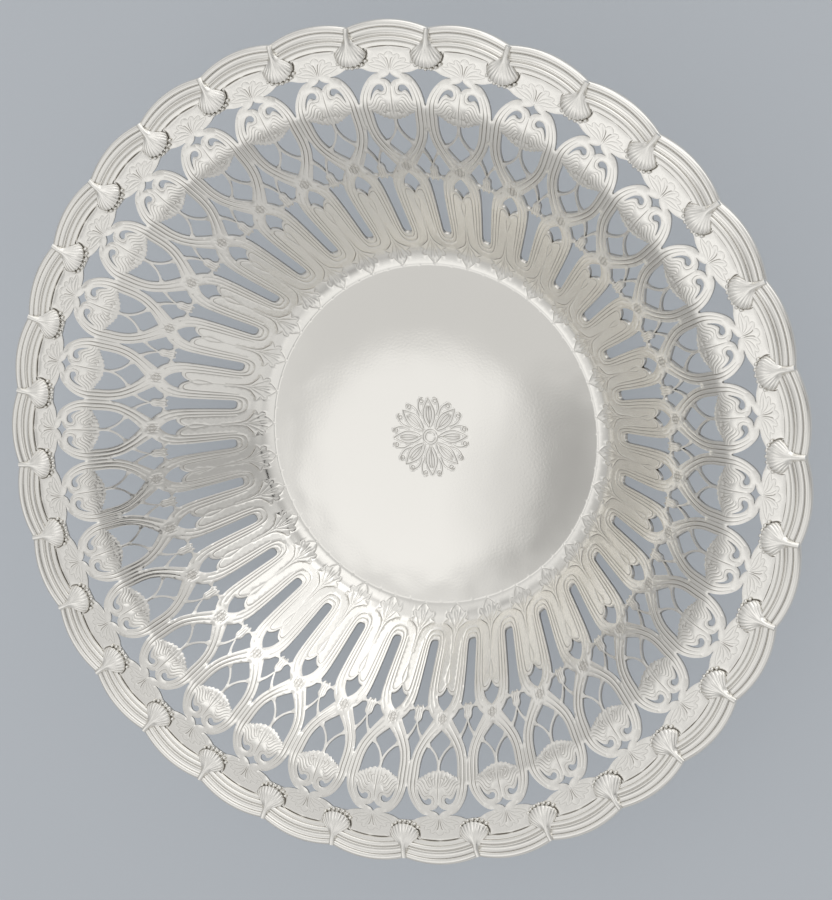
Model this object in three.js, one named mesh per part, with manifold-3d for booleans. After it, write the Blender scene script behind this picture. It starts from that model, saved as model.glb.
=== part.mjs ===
// A round centrepiece bowl of pierced silver, seen in one photograph from above and to one side.
//
// The bowl is made the way a silversmith makes one. A disc is raised into a bowl with a flat well,
// a steep wall and a wide sloping flange. The flange and the wall are pierced with a repeating band
// of straps that cross, open into ovals and close again over long slots. A cast border of reeds in
// shallow scallops is soldered round the rim in sections, and a small cast shell covers each notch
// between two scallops. A low ring foot under the well carries the bowl.
//
// All sizes are in millimetres, +Z is up and the foot's underside is at z = 0.

import * as THREE from "three";
import { mergeVertices } from "three/addons/utils/BufferGeometryUtils.js";
import Module from "manifold-3d";

const wasm = await Module();
wasm.setup();

// Overall sizes
const SCALLOPS = 32;
const OVERALL_DIAMETER = 343;
const SCALLOP_DEPTH = 3;
const SHEET = 1.4;
const CLEARANCE = 0.3;

// Profile of the raised sheet, from the notches inwards: lengths along the sheet, slopes in degrees
const FLANGE_LENGTH = 26.5;
const FLANGE_SLOPE = 14;
const SHOULDER_LENGTH = 6.5;
const WALL_TOP_SLOPE = 35;
const WALL_LENGTH = 43;
const WALL_FOOT_SLOPE = 47;
const STRAIGHT_LENGTH = 22;
const FILLET_LENGTH = 30;
const SHEET_EDGE_INSET = 2.5;

// Foot
const FOOT_HEIGHT = 5;
const FOOT_TOP_WIDTH = 3.4;
const FOOT_INSET = 2;
const FOOT_FLARE = 2.4;
const FOOT_EDGE_HEIGHT = 1.2;

// Reeded border
const SECTIONS = 16;
const BORDER_WIDTH = 10.2;
const ROLL_HEIGHT = 1.9;
const ROLL_WIDTH = 3;
const COVE_HEIGHT = 0.9;
const REED_HEIGHT = 1.3;
const REED_INSET = 1.2;
const STATIONS_PER_SCALLOP = 4;

// Applied shells
const SHELL_LENGTH = 14.6;
const SHELL_START = 0.5;
const SHELL_HALF_WIDTH = 6.3;
const SHELL_STEM_HALF_WIDTH = 0.8;
const SHELL_STEM_LENGTH = 5;
const SHELL_WIDEST_AT = 10;
const SHELL_THICKNESS = 1.3;
const SHELL_FAN_POINTS = 7;
const SHELL_SEAT_POINTS = 5;

// How round things are cut into flats
const FLATS = 2 * SCALLOPS;
const TRACE_STEP = 0.25;
const WEDGE_HEIGHT = 150;
const WEDGE_ROOT = 4.4;
const ROW_ABOVE_CROSSING = 60.5;
const ROW_BELOW_SLOT = 100;
const WELD = 0.0001;

const CELL = (2 * Math.PI) / SCALLOPS;
const NOTCH_RADIUS = OVERALL_DIAMETER / 2 - SCALLOP_DEPTH;
const SHOULDER_END = FLANGE_LENGTH + SHOULDER_LENGTH;
const WALL_END = SHOULDER_END + WALL_LENGTH;
const STRAIGHT_END = WALL_END + STRAIGHT_LENGTH;
const FLOOR_START = STRAIGHT_END + FILLET_LENGTH;

// The sheet's slope at a distance along it, measured inwards from the notches
function slopeAt(path) {
  const stops = [
    [FLANGE_LENGTH, FLANGE_SLOPE],
    [SHOULDER_END, WALL_TOP_SLOPE],
    [WALL_END, WALL_FOOT_SLOPE],
    [STRAIGHT_END, WALL_FOOT_SLOPE],
    [FLOOR_START, 0],
  ];
  if (path <= FLANGE_LENGTH) return FLANGE_SLOPE;
  if (path >= FLOOR_START) return 0;
  const next = stops.findIndex((stop) => stop[0] > path);
  const [from, to] = [stops[next - 1], stops[next]];
  return THREE.MathUtils.mapLinear(path, from[0], to[0], from[1], to[1]);
}

// Points of the sheet's upper face at small steps, from just outside the notches to the well's floor
const TRACE_START = -2 * SCALLOP_DEPTH;
const trace = [];
{
  const first = THREE.MathUtils.degToRad(slopeAt(TRACE_START));
  let radius = NOTCH_RADIUS - TRACE_START * Math.cos(first);
  let height = -TRACE_START * Math.sin(first);
  for (let path = TRACE_START; path <= FLOOR_START; path += TRACE_STEP) {
    trace.push({ radius, height });
    const slope = THREE.MathUtils.degToRad(slopeAt(path + TRACE_STEP / 2));
    radius -= TRACE_STEP * Math.cos(slope);
    height -= TRACE_STEP * Math.sin(slope);
  }
}
const floorPoint = trace[trace.length - 1];
const FLOOR_RADIUS = floorPoint.radius;
const WELL_UNDERSIDE = FOOT_HEIGHT + CLEARANCE;
const RIM_HEIGHT = WELL_UNDERSIDE + SHEET - floorPoint.height;

// Radius and height of a point that stands off the sheet's upper face by lift, square to it
function profilePoint(path, lift) {
  const place = (path - TRACE_START) / TRACE_STEP;
  const index = Math.min(Math.floor(place), trace.length - 2);
  const [near, far] = [trace[index], trace[index + 1]];
  const slope = THREE.MathUtils.degToRad(slopeAt(path));
  const radius = THREE.MathUtils.lerp(near.radius, far.radius, place - index);
  const height = THREE.MathUtils.lerp(near.height, far.height, place - index);
  return new THREE.Vector2(
    radius - lift * Math.sin(slope),
    RIM_HEIGHT + height + lift * Math.cos(slope),
  );
}

// A point of the bowl: turn counts repeats of the pattern, from a notch on the +X axis
function onBowl(turn, path, lift) {
  const point = profilePoint(path, lift);
  const angle = turn * CELL;
  return new THREE.Vector3(point.x * Math.cos(angle), point.x * Math.sin(angle), point.y);
}

// The position-only copy of a geometry with its vertices welded and its collapsed faces dropped
function welded(geometry) {
  const bare = new THREE.BufferGeometry();
  bare.setAttribute("position", geometry.getAttribute("position"));
  if (geometry.index) bare.setIndex(geometry.index);
  const merged = mergeVertices(bare, WELD);
  const corners = merged.index.array;
  const kept = [];
  for (let i = 0; i < corners.length; i += 3) {
    const [a, b, c] = corners.slice(i, i + 3);
    if (a !== b && b !== c && c !== a) kept.push(a, b, c);
  }
  return merged.setIndex(kept);
}

function solidOf(geometry) {
  const closed = welded(geometry);
  const make = (faces) =>
    new wasm.Manifold(
      new wasm.Mesh({
        numProp: 3,
        vertProperties: new Float32Array(closed.getAttribute("position").array),
        triVerts: new Uint32Array(faces),
      }),
    );
  const solid = make(closed.index.array);
  return solid.volume() > 0 ? solid : make(Array.from(closed.index.array).reverse());
}

function geometryOf(solid) {
  const mesh = solid.getMesh();
  return new THREE.BufferGeometry()
    .setAttribute("position", new THREE.BufferAttribute(new Float32Array(mesh.vertProperties), 3))
    .setIndex(new THREE.BufferAttribute(new Uint32Array(mesh.triVerts), 1));
}

// Bends a straight extrusion: bend turns each of its points into a point of the bowl
function bent(geometry, bend) {
  const position = geometry.getAttribute("position");
  for (let i = 0; i < position.count; i++) {
    const point = bend(position.getX(i), position.getY(i), position.getZ(i));
    position.setXYZ(i, point.x, point.y, point.z);
  }
  return geometry;
}

function extrusion(corners, steps = 1) {
  const shape = new THREE.Shape(corners.map(([x, y]) => new THREE.Vector2(x, y)));
  return new THREE.ExtrudeGeometry(shape, { depth: 1, steps, bevelEnabled: false });
}

function turned(profile, firstAngle = 0) {
  const points = [...profile, profile[0]].map((p) => p.clone());
  return new THREE.LatheGeometry(points, FLATS, firstAngle).rotateX(Math.PI / 2);
}

// Piercings of one repeat. Each corner has its place across the repeat, from -0.5 at one notch
// through 0 at the middle of the oval to 0.5 at the next notch, and its distance along the sheet.
const mirrored = (corners) => corners.map(([across, path]) => [-across, path]).reverse();

// An outline symmetrical about one axis, from its right-hand half
function bothHalves(axis, half) {
  const right = half.map(([off, path]) => [axis + off, path]);
  const left = half.filter(([off]) => off > 0).map(([off, path]) => [axis - off, path]);
  return [...right, ...left.reverse()];
}

const kiteUnderShell = bothHalves(0.5, [
  [0.15, 16.4],
  [0.24, 18.9],
  [0.12, 23.4],
  [0, 29.3],
]);
const diamondAtNeck = bothHalves(0, [
  [0, 18.4],
  [0.08, 20.2],
  [0, 23.1],
]);
const ovalSide = [
  [0.325, 33.6],
  [0.32, 40.6],
  [0.185, 46.8],
  [0.03, 39.8],
  [0.03, 38.2],
];
const ovalFoot = bothHalves(0, [
  [0, 41.4],
  [0.15, 48.4],
  [0, 54.8],
]);
const archOverTulip = bothHalves(0.5, [
  [0, 40.6],
  [0.13, 51],
  [0.28, 58.6],
  [0.1, 58.6],
  [0, 56],
]);
const longSlot = bothHalves(0.5, [
  [0.15, 65.2],
  [0.1, 78],
  [0.1, 97],
  [0, 99.4],
]);
const heartUnderCrossing = bothHalves(0, [
  [0, 63.6],
  [0.16, 69.3],
  [0, 74.4],
]);
const piercings = [
  kiteUnderShell,
  diamondAtNeck,
  ovalSide,
  mirrored(ovalSide),
  ovalFoot,
  archOverTulip,
  longSlot,
  heartUnderCrossing,
];

// Each piercing is sawn out by a slender wedge that stands on the outline, square to the sheet at
// the middle of the piercing, and ends in a point high over the bowl
function piercingTool(corners, middleTurn) {
  const mean = (axis) => corners.reduce((sum, corner) => sum + corner[axis], 0) / corners.length;
  const middle = [middleTurn + mean(0), mean(1)];
  const point = onBowl(...middle, WEDGE_HEIGHT);
  return bent(extrusion(corners), (across, path, atPoint) => {
    const edge = onBowl(middleTurn + across, path, 0);
    return atPoint ? point : edge.lerp(point, -WEDGE_ROOT / WEDGE_HEIGHT);
  });
}

// The raised and pierced sheet
function makeBowl() {
  const rows = [
    SHEET_EDGE_INSET,
    FLANGE_LENGTH + SHOULDER_LENGTH / 2,
    ROW_ABOVE_CROSSING,
    ROW_BELOW_SLOT,
    ROW_BELOW_SLOT + (FLOOR_START - ROW_BELOW_SLOT) / 3,
    ROW_BELOW_SLOT + (2 * (FLOOR_START - ROW_BELOW_SLOT)) / 3,
    FLOOR_START,
  ];
  const upper = rows.map((path) => profilePoint(path, 0));
  const lower = rows.map((path) => profilePoint(path, -SHEET)).reverse();
  const onAxis = (point) => new THREE.Vector2(0, point.y);
  const profile = [...upper, onAxis(upper[upper.length - 1]), onAxis(lower[0]), ...lower];
  let sheet = solidOf(turned(profile, CELL / 4));
  for (let repeat = 0; repeat < SCALLOPS; repeat++)
    for (const corners of piercings)
      sheet = sheet.subtract(solidOf(piercingTool(corners, repeat + 0.5)));
  return geometryOf(sheet);
}

// The ring foot, under the flat of the well
function makeFoot() {
  const outer = FLOOR_RADIUS - FOOT_INSET;
  const inner = outer - FOOT_TOP_WIDTH;
  const profile = [
    [inner, FOOT_HEIGHT],
    [outer, FOOT_HEIGHT],
    [outer, FOOT_HEIGHT - FOOT_EDGE_HEIGHT],
    [outer + FOOT_FLARE, FOOT_EDGE_HEIGHT],
    [outer + FOOT_FLARE, 0],
    [inner + FOOT_FLARE / 2, 0],
  ].map(([radius, height]) => new THREE.Vector2(radius, height));
  return geometryOf(solidOf(turned(profile.reverse())));
}

// How far the border's edge lies inside the notches' circle; negative on a scallop's crest
function edgePath(turn) {
  const across = turn - Math.floor(turn) - 0.5;
  return -SCALLOP_DEPTH * (1 - (2 * across) ** 2);
}

// One cast length of the border: a thick outer roll, a cove and a band of reeds, in two scallops
function makeBorderSection(index) {
  const scallops = SCALLOPS / SECTIONS;
  const gap = CLEARANCE / (NOTCH_RADIUS * CELL);
  const profile = [
    [0, 0],
    [BORDER_WIDTH, 0],
    [BORDER_WIDTH - REED_INSET, REED_HEIGHT],
    [ROLL_WIDTH + REED_INSET, COVE_HEIGHT],
    [ROLL_WIDTH / 2, ROLL_HEIGHT],
    [0, ROLL_HEIGHT / 2],
  ];
  const bar = extrusion(profile, scallops * STATIONS_PER_SCALLOP);
  const start = index * scallops;
  return bent(bar, (across, height, along) => {
    const station = start + along * scallops;
    const turn = start + gap / 2 + along * (scallops - gap);
    return onBowl(turn, edgePath(station) + across, CLEARANCE + height);
  });
}

// One cast shell: a stem over the outer roll and a fan that comes down onto the sheet
function makeShell(index) {
  const fanRadius = SHELL_LENGTH + SHELL_START - SHELL_WIDEST_AT;
  const underside = ROLL_HEIGHT + 2 * CLEARANCE;
  const fan = (points, halfWidth, length, from) =>
    Array.from({ length: points }, (_, i) => {
      const angle = (Math.PI * i) / (points - 1);
      return [halfWidth * Math.cos(angle), from + length * Math.sin(angle)];
    });
  const outline = [
    [SHELL_STEM_HALF_WIDTH, SHELL_START],
    [3 * SHELL_STEM_HALF_WIDTH, SHELL_STEM_LENGTH + SHELL_START],
    ...fan(SHELL_FAN_POINTS, SHELL_HALF_WIDTH, fanRadius, SHELL_WIDEST_AT),
    [-3 * SHELL_STEM_HALF_WIDTH, SHELL_STEM_LENGTH + SHELL_START],
    [-SHELL_STEM_HALF_WIDTH, SHELL_START],
  ];
  const seatStart = BORDER_WIDTH + 2 * CLEARANCE;
  const seatLength = SHELL_START + SHELL_LENGTH - seatStart - CLEARANCE;
  const seat = fan(SHELL_SEAT_POINTS, SHELL_HALF_WIDTH / 2, seatLength, seatStart);
  const place = (low, high) => (across, path, through) => {
    const width = profilePoint(path, 0).x * CELL;
    return onBowl(index + across / width, path, through ? high : low);
  };
  const top = underside + SHELL_THICKNESS;
  const plate = solidOf(bent(extrusion(outline), place(underside, top)));
  const block = solidOf(bent(extrusion(seat), place(CLEARANCE, underside + SHELL_THICKNESS / 2)));
  return geometryOf(plate.add(block));
}

const bowl = new THREE.Group();

function addPiece(name, geometry) {
  const silver = new THREE.MeshStandardMaterial({ color: 0xd8d6cf, metalness: 1, roughness: 0.25 });
  const flat = geometry.toNonIndexed();
  flat.computeVertexNormals();
  const mesh = new THREE.Mesh(flat, silver);
  mesh.name = name;
  bowl.add(mesh);
}

const numbered = (name, index) => name + "_" + String(index + 1).padStart(2, "0");

addPiece("pierced_bowl", makeBowl());
addPiece("foot_ring", makeFoot());
for (let index = 0; index < SECTIONS; index++)
  addPiece(numbered("border_section", index), geometryOf(solidOf(makeBorderSection(index))));
for (let index = 0; index < SCALLOPS; index++)
  addPiece(numbered("rim_shell", index), makeShell(index));

export default bowl;
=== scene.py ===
# %% [markdown]
# # A pierced silver centrepiece bowl
#
# The bowl is one disc of silver, raised into a flat well, a steep wall and a wide sloping flange. The
# flange and the wall are pierced and engraved with one drawing that repeats 32 times. A cast border of
# reeds in shallow scallops is soldered on the rim, a small cast shell covers each notch, and a plain ring
# foot carries the well.
#
# The lesson runs in the order of the workshop: the profile, the drawing of one repeat, the sawn and
# engraved sheet, the silver, the well, the border, the shells and the foot, then the room, the light and
# the camera. Sizes are in millimetres, and the scene is in metres.

# %% Open the frame
import math

import bmesh
import bpy
import numpy as np
from mathutils import Matrix, Vector
from mathutils.geometry import delaunay_2d_cdt


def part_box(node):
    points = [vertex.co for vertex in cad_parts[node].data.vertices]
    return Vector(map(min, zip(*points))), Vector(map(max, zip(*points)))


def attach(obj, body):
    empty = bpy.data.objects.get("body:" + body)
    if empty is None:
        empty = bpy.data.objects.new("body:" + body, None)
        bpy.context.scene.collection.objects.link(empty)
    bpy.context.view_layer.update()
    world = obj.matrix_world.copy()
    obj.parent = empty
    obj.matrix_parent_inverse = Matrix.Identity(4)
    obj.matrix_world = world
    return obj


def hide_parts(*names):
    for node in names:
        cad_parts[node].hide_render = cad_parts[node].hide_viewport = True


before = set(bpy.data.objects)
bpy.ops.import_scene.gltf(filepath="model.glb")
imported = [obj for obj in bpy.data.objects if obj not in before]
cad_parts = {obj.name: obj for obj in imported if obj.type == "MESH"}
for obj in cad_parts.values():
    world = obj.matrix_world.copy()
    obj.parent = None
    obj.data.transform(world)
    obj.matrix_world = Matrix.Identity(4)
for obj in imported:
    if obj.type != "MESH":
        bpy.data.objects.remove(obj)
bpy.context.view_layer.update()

MM = 0.001
BORDERS = sorted(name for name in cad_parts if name.startswith("border_section"))
SHELLS = sorted(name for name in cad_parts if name.startswith("rim_shell"))
REPEATS = len(SHELLS)
CELL = 2 * math.pi / REPEATS
print(len(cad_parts), "solids in the frame,", REPEATS, "repeats of the pattern")

# %% [markdown]
# ## The profile
# A raised bowl is a surface of revolution, so one line describes its whole form. The line is kept as slopes
# against the distance along the sheet, from the notches of the rim inwards: a straight flange, a quick turn
# at the shoulder, a wall that gets a little steeper, and a fillet that meets the flat well in a quick bend
# at the tips of the leaves. Adding up small steps gives radius and height. With it, `on_bowl` bends
# anything drawn flat onto the bowl: across the repeat, along the sheet and up from it.

# %% Profile of the sheet
OVERALL_DIAMETER = 343
SCALLOP_DEPTH = 3
SHEET = 1.4
FLANGE_LENGTH, FLANGE_SLOPE = 26.5, 14
SHOULDER_LENGTH, WALL_TOP_SLOPE = 6.5, 35
WALL_LENGTH, WALL_FOOT_SLOPE = 43, 47
STRAIGHT_LENGTH, FILLET_LENGTH = 22, 30
BEND_DISTANCES = (0, 11, 11.8, 21, FILLET_LENGTH)  # from the inner end of the fillet outwards
BEND_SLOPES = (0, 0, 14, WALL_FOOT_SLOPE, WALL_FOOT_SLOPE)
SHEET_EDGE = 2.5  # where the sheet begins under the border
TRACE_START, TRACE_BEYOND, TRACE_STEP = -6, 70, 0.05

NOTCH_RADIUS = OVERALL_DIAMETER / 2 - SCALLOP_DEPTH
stops = np.cumsum([FLANGE_LENGTH, SHOULDER_LENGTH, WALL_LENGTH, STRAIGHT_LENGTH, FILLET_LENGTH])
FLOOR_START = float(stops[-1])
outer_slopes = [FLANGE_SLOPE, WALL_TOP_SLOPE, WALL_FOOT_SLOPE, WALL_FOOT_SLOPE]
trace_path = np.arange(TRACE_START, FLOOR_START + TRACE_BEYOND, TRACE_STEP)
fillet_slope = np.interp(FLOOR_START - trace_path, BEND_DISTANCES, BEND_SLOPES)
outer_slope = np.interp(trace_path, stops[:-1], outer_slopes)
trace_slope = np.radians(np.where(trace_path > FLOOR_START - FILLET_LENGTH, fillet_slope, outer_slope))
middle_slope = (trace_slope[1:] + trace_slope[:-1]) / 2
trace_radius = np.concatenate([[0], -np.cumsum(TRACE_STEP * np.cos(middle_slope))])
trace_height = np.concatenate([[0], -np.cumsum(TRACE_STEP * np.sin(middle_slope))])
trace_radius += NOTCH_RADIUS - np.interp(0, trace_path, trace_radius)
well_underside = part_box("pierced_bowl")[0].z / MM
trace_height += well_underside + SHEET - trace_height[-1]
FLOOR_RADIUS = float(np.interp(FLOOR_START, trace_path, trace_radius))
FLOOR_HEIGHT = float(trace_height[-1])
RIM_HEIGHT = float(np.interp(0, trace_path, trace_height))


def on_bowl(turn, path, lift):
    """Points in metres: turn in repeats from the +X axis, path along the sheet, lift square to it."""
    turn, path, lift = np.broadcast_arrays(turn, path, lift)
    slope = np.interp(path, trace_path, trace_slope)
    radius = np.interp(path, trace_path, trace_radius) - lift * np.sin(slope)
    height = np.interp(path, trace_path, trace_height) + lift * np.cos(slope)
    angle = turn * CELL
    return np.stack([radius * np.cos(angle), radius * np.sin(angle), height], -1) * MM


WELL_DEPTH = RIM_HEIGHT - FLOOR_HEIGHT
print("well radius %.1f, well depth %.1f, rim height %.1f" % (FLOOR_RADIUS, WELL_DEPTH, RIM_HEIGHT))

# %% [markdown]
# ## Small tools for drawing
# Curves are drawn through a few points with a spline that passes through each of them. A drawing is kept in
# repeats across (0 is the middle of an oval, 0.5 the middle of the slot beside it) and millimetres along
# the sheet.

# %% Drawing tools
FLAT_WIDTH = 26  # millimetres that one repeat takes on the drawing board


def board(line):
    """A drawn line in millimetres both ways."""
    return np.asarray(line, float) * [FLAT_WIDTH, 1]


def smooth(points, steps=6):
    """A soft curve through the points, as an array."""
    knots = np.array(points, float)
    padded = np.vstack([2 * knots[0] - knots[1], knots, 2 * knots[-1] - knots[-2]])
    pieces = []
    for a, b, c, d in zip(padded, padded[1:], padded[2:], padded[3:]):
        t = np.linspace(0, 1, steps, endpoint=False)[:, None]
        bend, turn = 2 * a - 5 * b + 4 * c - d, 3 * b - a - 3 * c + d
        pieces.append(0.5 * (2 * b + (c - a) * t + bend * t**2 + turn * t**3))
    return np.vstack(pieces + [knots[-1:]])


def joined(*parts):
    """Curves laid end to end as one outline, without doubled points."""
    line = np.vstack([np.atleast_2d(part) for part in parts])
    step = np.linalg.norm(board(line - np.roll(line, 1, 0)), axis=1)
    return line[step > 0.02]


def resampled(line, count):
    """The line again with evenly spaced points."""
    line = np.asarray(line, float)
    steps = np.linalg.norm(board(np.diff(line, axis=0)), axis=1)
    along = np.concatenate([[0], np.cumsum(steps)])
    at = np.linspace(0, along[-1], count)
    return np.stack([np.interp(at, along, line[:, k]) for k in (0, 1)], 1)


def between(first, second, share, count):
    """The line that keeps the same share of the way from one curve to the other."""
    return (1 - share) * resampled(first, count) + share * resampled(second, count)


print("one repeat is", FLAT_WIDTH, "mm wide on the drawing board")

# %% [markdown]
# ## The drawing of one repeat
# Each repeat is its own mirror image, so only its right half is drawn. The straps come first: a strap
# leaves the leaf plate under the border, swings out round the oval until it touches its neighbour, comes
# back in, crosses its mirror image and runs on beside the long slot. Its two edges bound nearly all the
# openings, so the openings are read off them.

# %% Straps
strap_outer = smooth([
    (0.16, 18.15), (0.235, 18.65), (0.305, 20.0), (0.365, 21.9), (0.415, 24.0), (0.452, 26.2), (0.482, 29.0),
    (0.496, 32.5), (0.4985, 36.5), (0.495, 40.0), (0.48, 43.2), (0.447, 46.8), (0.385, 50.6), (0.312, 54.2),
    (0.245, 57.0), (0.182, 59.7)], 4)
strap_inner = smooth([
    (0.1, 20.3), (0.18, 20.9), (0.25, 22.8), (0.3, 25.6), (0.33, 28.6), (0.335, 31.6), (0.327, 34.6),
    (0.326, 38.0), (0.318, 41.0), (0.294, 44.0), (0.25, 46.8), (0.185, 49.6), (0.1, 52.2), (0.0, 54.7)], 4)
arch_outer = smooth([
    (0.182, 59.7), (0.248, 61.5), (0.308, 64.0), (0.35, 67.1), (0.374, 71.2), (0.385, 77.0), (0.388, 84.0),
    (0.388, 91.0), (0.388, 96.0)], 4)
arch_inner = smooth([(0.0, 63.4), (0.075, 65.2), (0.135, 67.6), (0.168, 70.4)], 5)


CUT_ROOM = 0.15  # no drawn point stays closer than this to a cut


def cut_at(line, path, after):
    """The part of a line before or after it reaches a distance along the sheet."""
    at = np.interp(path, line[:, 1], line[:, 0])
    kept = line[line[:, 1] > path + CUT_ROOM] if after else line[line[:, 1] < path - CUT_ROOM]
    return np.vstack([[(at, path)], kept]) if after else np.vstack([kept, [(at, path)]])


def part_of(line, first, last):
    """The part of a line between two distances along the sheet."""
    return cut_at(cut_at(line, first, True), last, False)


print("strap edges drawn with", len(strap_outer) + len(strap_inner), "points")

# %% [markdown]
# ## The openings
# Nine openings make up the half: the kite under the shell, the diamond at the neck, the comma beside the
# volute, the oval in two parts with a forked tendril left between them, the lance above the tulip bud, the
# space beside the bud, the long slot and the small heart below the crossing. The palmette that closes the
# top of the oval ends in a row of small round lobes: their edge is a smooth line with a row of humps added
# to it.

# %% Openings
FAN_LOBES, LOBE_HEIGHT = 5.5, 0.85
STRAPS_TOUCH, STRAPS_PART = 29.6, 40.8
fan_line = smooth([(0.325, 32.9), (0.25, 33.9), (0.15, 35.5), (0.0, 36.6)], 9)
fan_share = np.linspace(0, FAN_LOBES, len(fan_line))
fan_edge = fan_line + np.stack([0 * fan_share, LOBE_HEIGHT * np.abs(np.sin(math.pi * fan_share)) ** 0.7], 1)
fan_edge = fan_edge[fan_edge[:, 0] > 0.03]

kite = joined(
    [(0.5, 16.2)],
    smooth([(0.42, 16.2), (0.385, 16.25), (0.35, 16.75), (0.3, 17.35), (0.24, 17.8), (0.16, 18.1)], 3),
    cut_at(strap_outer, STRAPS_TOUCH, False)[1:], [(0.5, STRAPS_TOUCH + 0.5)])
diamond = joined(smooth([(0.0, 18.1), (0.03, 19.1), (0.075, 19.85), (0.13, 20.2)], 2),
                 smooth([(0.13, 20.25), (0.07, 20.65), (0.03, 21.4), (0.0, 22.5)], 2))
comma = joined(
    smooth([(0.1, 24.2), (0.115, 23.1), (0.155, 22.6), (0.21, 22.9), (0.26, 24.3), (0.295, 26.3),
            (0.316, 28.6)], 4),
    smooth([(0.312, 28.6), (0.288, 27.2), (0.262, 25.9), (0.232, 24.95), (0.203, 24.55), (0.18, 24.8),
            (0.15, 25.3), (0.118, 25.1), (0.1, 24.4)], 3))
oval_upper = joined(
    fan_edge, [(0.022, 37.4), (0.022, 38.8)],
    smooth([(0.032, 40.6), (0.062, 42.7), (0.112, 44.8), (0.178, 46.6)], 4),
    part_of(strap_inner, 33.0, 47.2)[::-1])
oval_lower = joined(
    [(0.0, 41.2)], smooth([(0.028, 42.9), (0.072, 44.8), (0.125, 46.5), (0.172, 47.7)], 4),
    cut_at(strap_inner, 49.3, True))
lance = joined(
    [(0.5, STRAPS_PART)], part_of(strap_outer, 42.2, 50.4),
    smooth([(0.402, 51.6), (0.442, 53.4), (0.475, 55.4), (0.5, 57.4)], 4))
beside_bud = joined(
    cut_at(strap_outer, 52.4, True), cut_at(arch_outer, 63.9, False)[1:],
    smooth([(0.35, 64.2), (0.385, 64.4), (0.415, 63.6), (0.428, 62.4), (0.425, 60.9), (0.438, 59.6),
            (0.468, 58.9)], 4),
    smooth([(0.482, 58.2), (0.462, 56.8), (0.43, 54.9), (0.385, 53.0)], 3))
slot = joined(
    [(0.5, 66.4)], smooth([(0.478, 65.4), (0.455, 66.6), (0.432, 66.2), (0.41, 65.2), (0.375, 65.5)], 4),
    part_of(arch_outer, 66.6, 95.6), smooth([(0.389, 96.6), (0.402, 98.0), (0.44, 98.9), (0.5, 99.1)], 4))
heart = joined(
    arch_inner, smooth([(0.172, 70.7), (0.125, 70.9), (0.075, 71.8), (0.03, 73.4), (0.0, 75.2)], 4))
OPENINGS = dict(kite=kite, diamond=diamond, comma=comma, oval_upper=oval_upper, oval_lower=oval_lower,
                lance=lance, beside_bud=beside_bud, slot=slot, heart=heart)
print("openings:", ", ".join("%s %d" % (name, len(line)) for name, line in OPENINGS.items()))

# %% [markdown]
# ## The engraving
# The engraver's lines are cut with a graver, which leaves a V that swells in the middle of the stroke and
# runs out at its ends. Straps get two lines that keep their distance from both edges and run on round the
# foot of each slot; the palmettes get feathers and rays; the column between two slots has two long lobes
# and a leaf at its foot.

# %% Strokes
STRAP_LINE, FINE_LINE, RAY_LINE = 0.42, 0.34, 0.4
strokes = []


def engrave(line, width=FINE_LINE, count=None, depth=0.8):
    """Adds a cut, of which depth 1 is a full one; a count spaces its points evenly."""
    line = np.asarray(line, float)
    strokes.append((resampled(line, count) if count else line, width, depth))


SLOT_LINES = [
    [(0.334, 91.0), (0.336, 95.4), (0.348, 98.3), (0.382, 100.4), (0.435, 101.3), (0.5, 101.5)],
    [(0.268, 91.0), (0.27, 95.6), (0.284, 99.4), (0.322, 102.2), (0.39, 103.6), (0.5, 104.1)]]
arch_mate = joined(arch_inner[2:], [(0.19, 73.0), (0.203, 77.0), (0.208, 83.0), (0.208, 89.0)])
strap_sides = part_of(strap_inner, 23.4, 53.4), part_of(strap_outer, 20.6, 58.6)
for share, line_round_slot in zip((0.28, 0.66), SLOT_LINES):
    engrave(between(*strap_sides, share, 46), STRAP_LINE, depth=1.0)
    along_arch = between(cut_at(arch_mate, 68.2, True), part_of(arch_outer, 61.6, 89.0), 1 - share, 16)
    engrave(joined(along_arch, smooth(line_round_slot, 4)), STRAP_LINE, depth=0.9)
engrave([(0.5, 30.4), (0.5, 35.0), (0.5, 40.4)], FINE_LINE, 8, depth=0.9)
engrave(smooth([(0.012, 76.2), (0.07, 73.4), (0.14, 72.4), (0.186, 73.6), (0.2, 78.0), (0.206, 86.0),
                (0.208, 93.0), (0.222, 98.6)], 3), STRAP_LINE, depth=0.8)
engrave(smooth([(0.03, 77.2), (0.046, 79.0), (0.034, 82.0), (0.0, 86.0)], 3), FINE_LINE)
engrave([(0.0, 86.0), (0.0, 93.0), (0.0, 99.0)], FINE_LINE, 6, depth=0.45)
foot_leaf = [(0.028, 92.0), (0.032, 98.6), (0.058, 102.4), (0.13, 104.9), (0.25, 106.7), (0.37, 107.9),
             (0.3, 108.8), (0.235, 109.5), (0.31, 110.3), (0.325, 111.4), (0.3, 112.7), (0.2, 112.4),
             (0.165, 113.6), (0.1, 114.9), (0.0, 116.4)]
for first, last in ((0, 6), (5, 8), (7, 11), (10, 12), (11, 15)):
    engrave(smooth(foot_leaf[first:last], 3), STRAP_LINE if first == 0 else FINE_LINE, depth=0.9)
VEINS = (((0.3, 107.9), (0.045, 103.6)), ((0.26, 111.6), (0.03, 104.6)), ((0.1, 113.6), (0.015, 106.0)))
for tip, root in VEINS:
    engrave(smooth([root, (0.45 * tip[0] + 0.55 * root[0], 0.55 * tip[1] + 0.45 * root[1] - 0.4), tip], 3))
engrave([(0.0, 101.6), (0.0, 106.0), (0.0, 112.5)], FINE_LINE, 6)
print(len(strokes), "strokes on the straps and the column")

# %% [markdown]
# The palmette hangs from the neck of the oval. Four waved feathers follow the tail of the comma, and rays
# run from the middle to the small lobes. The leaf on the plate is an outline with little bays and a vein
# for each lobe.

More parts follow.
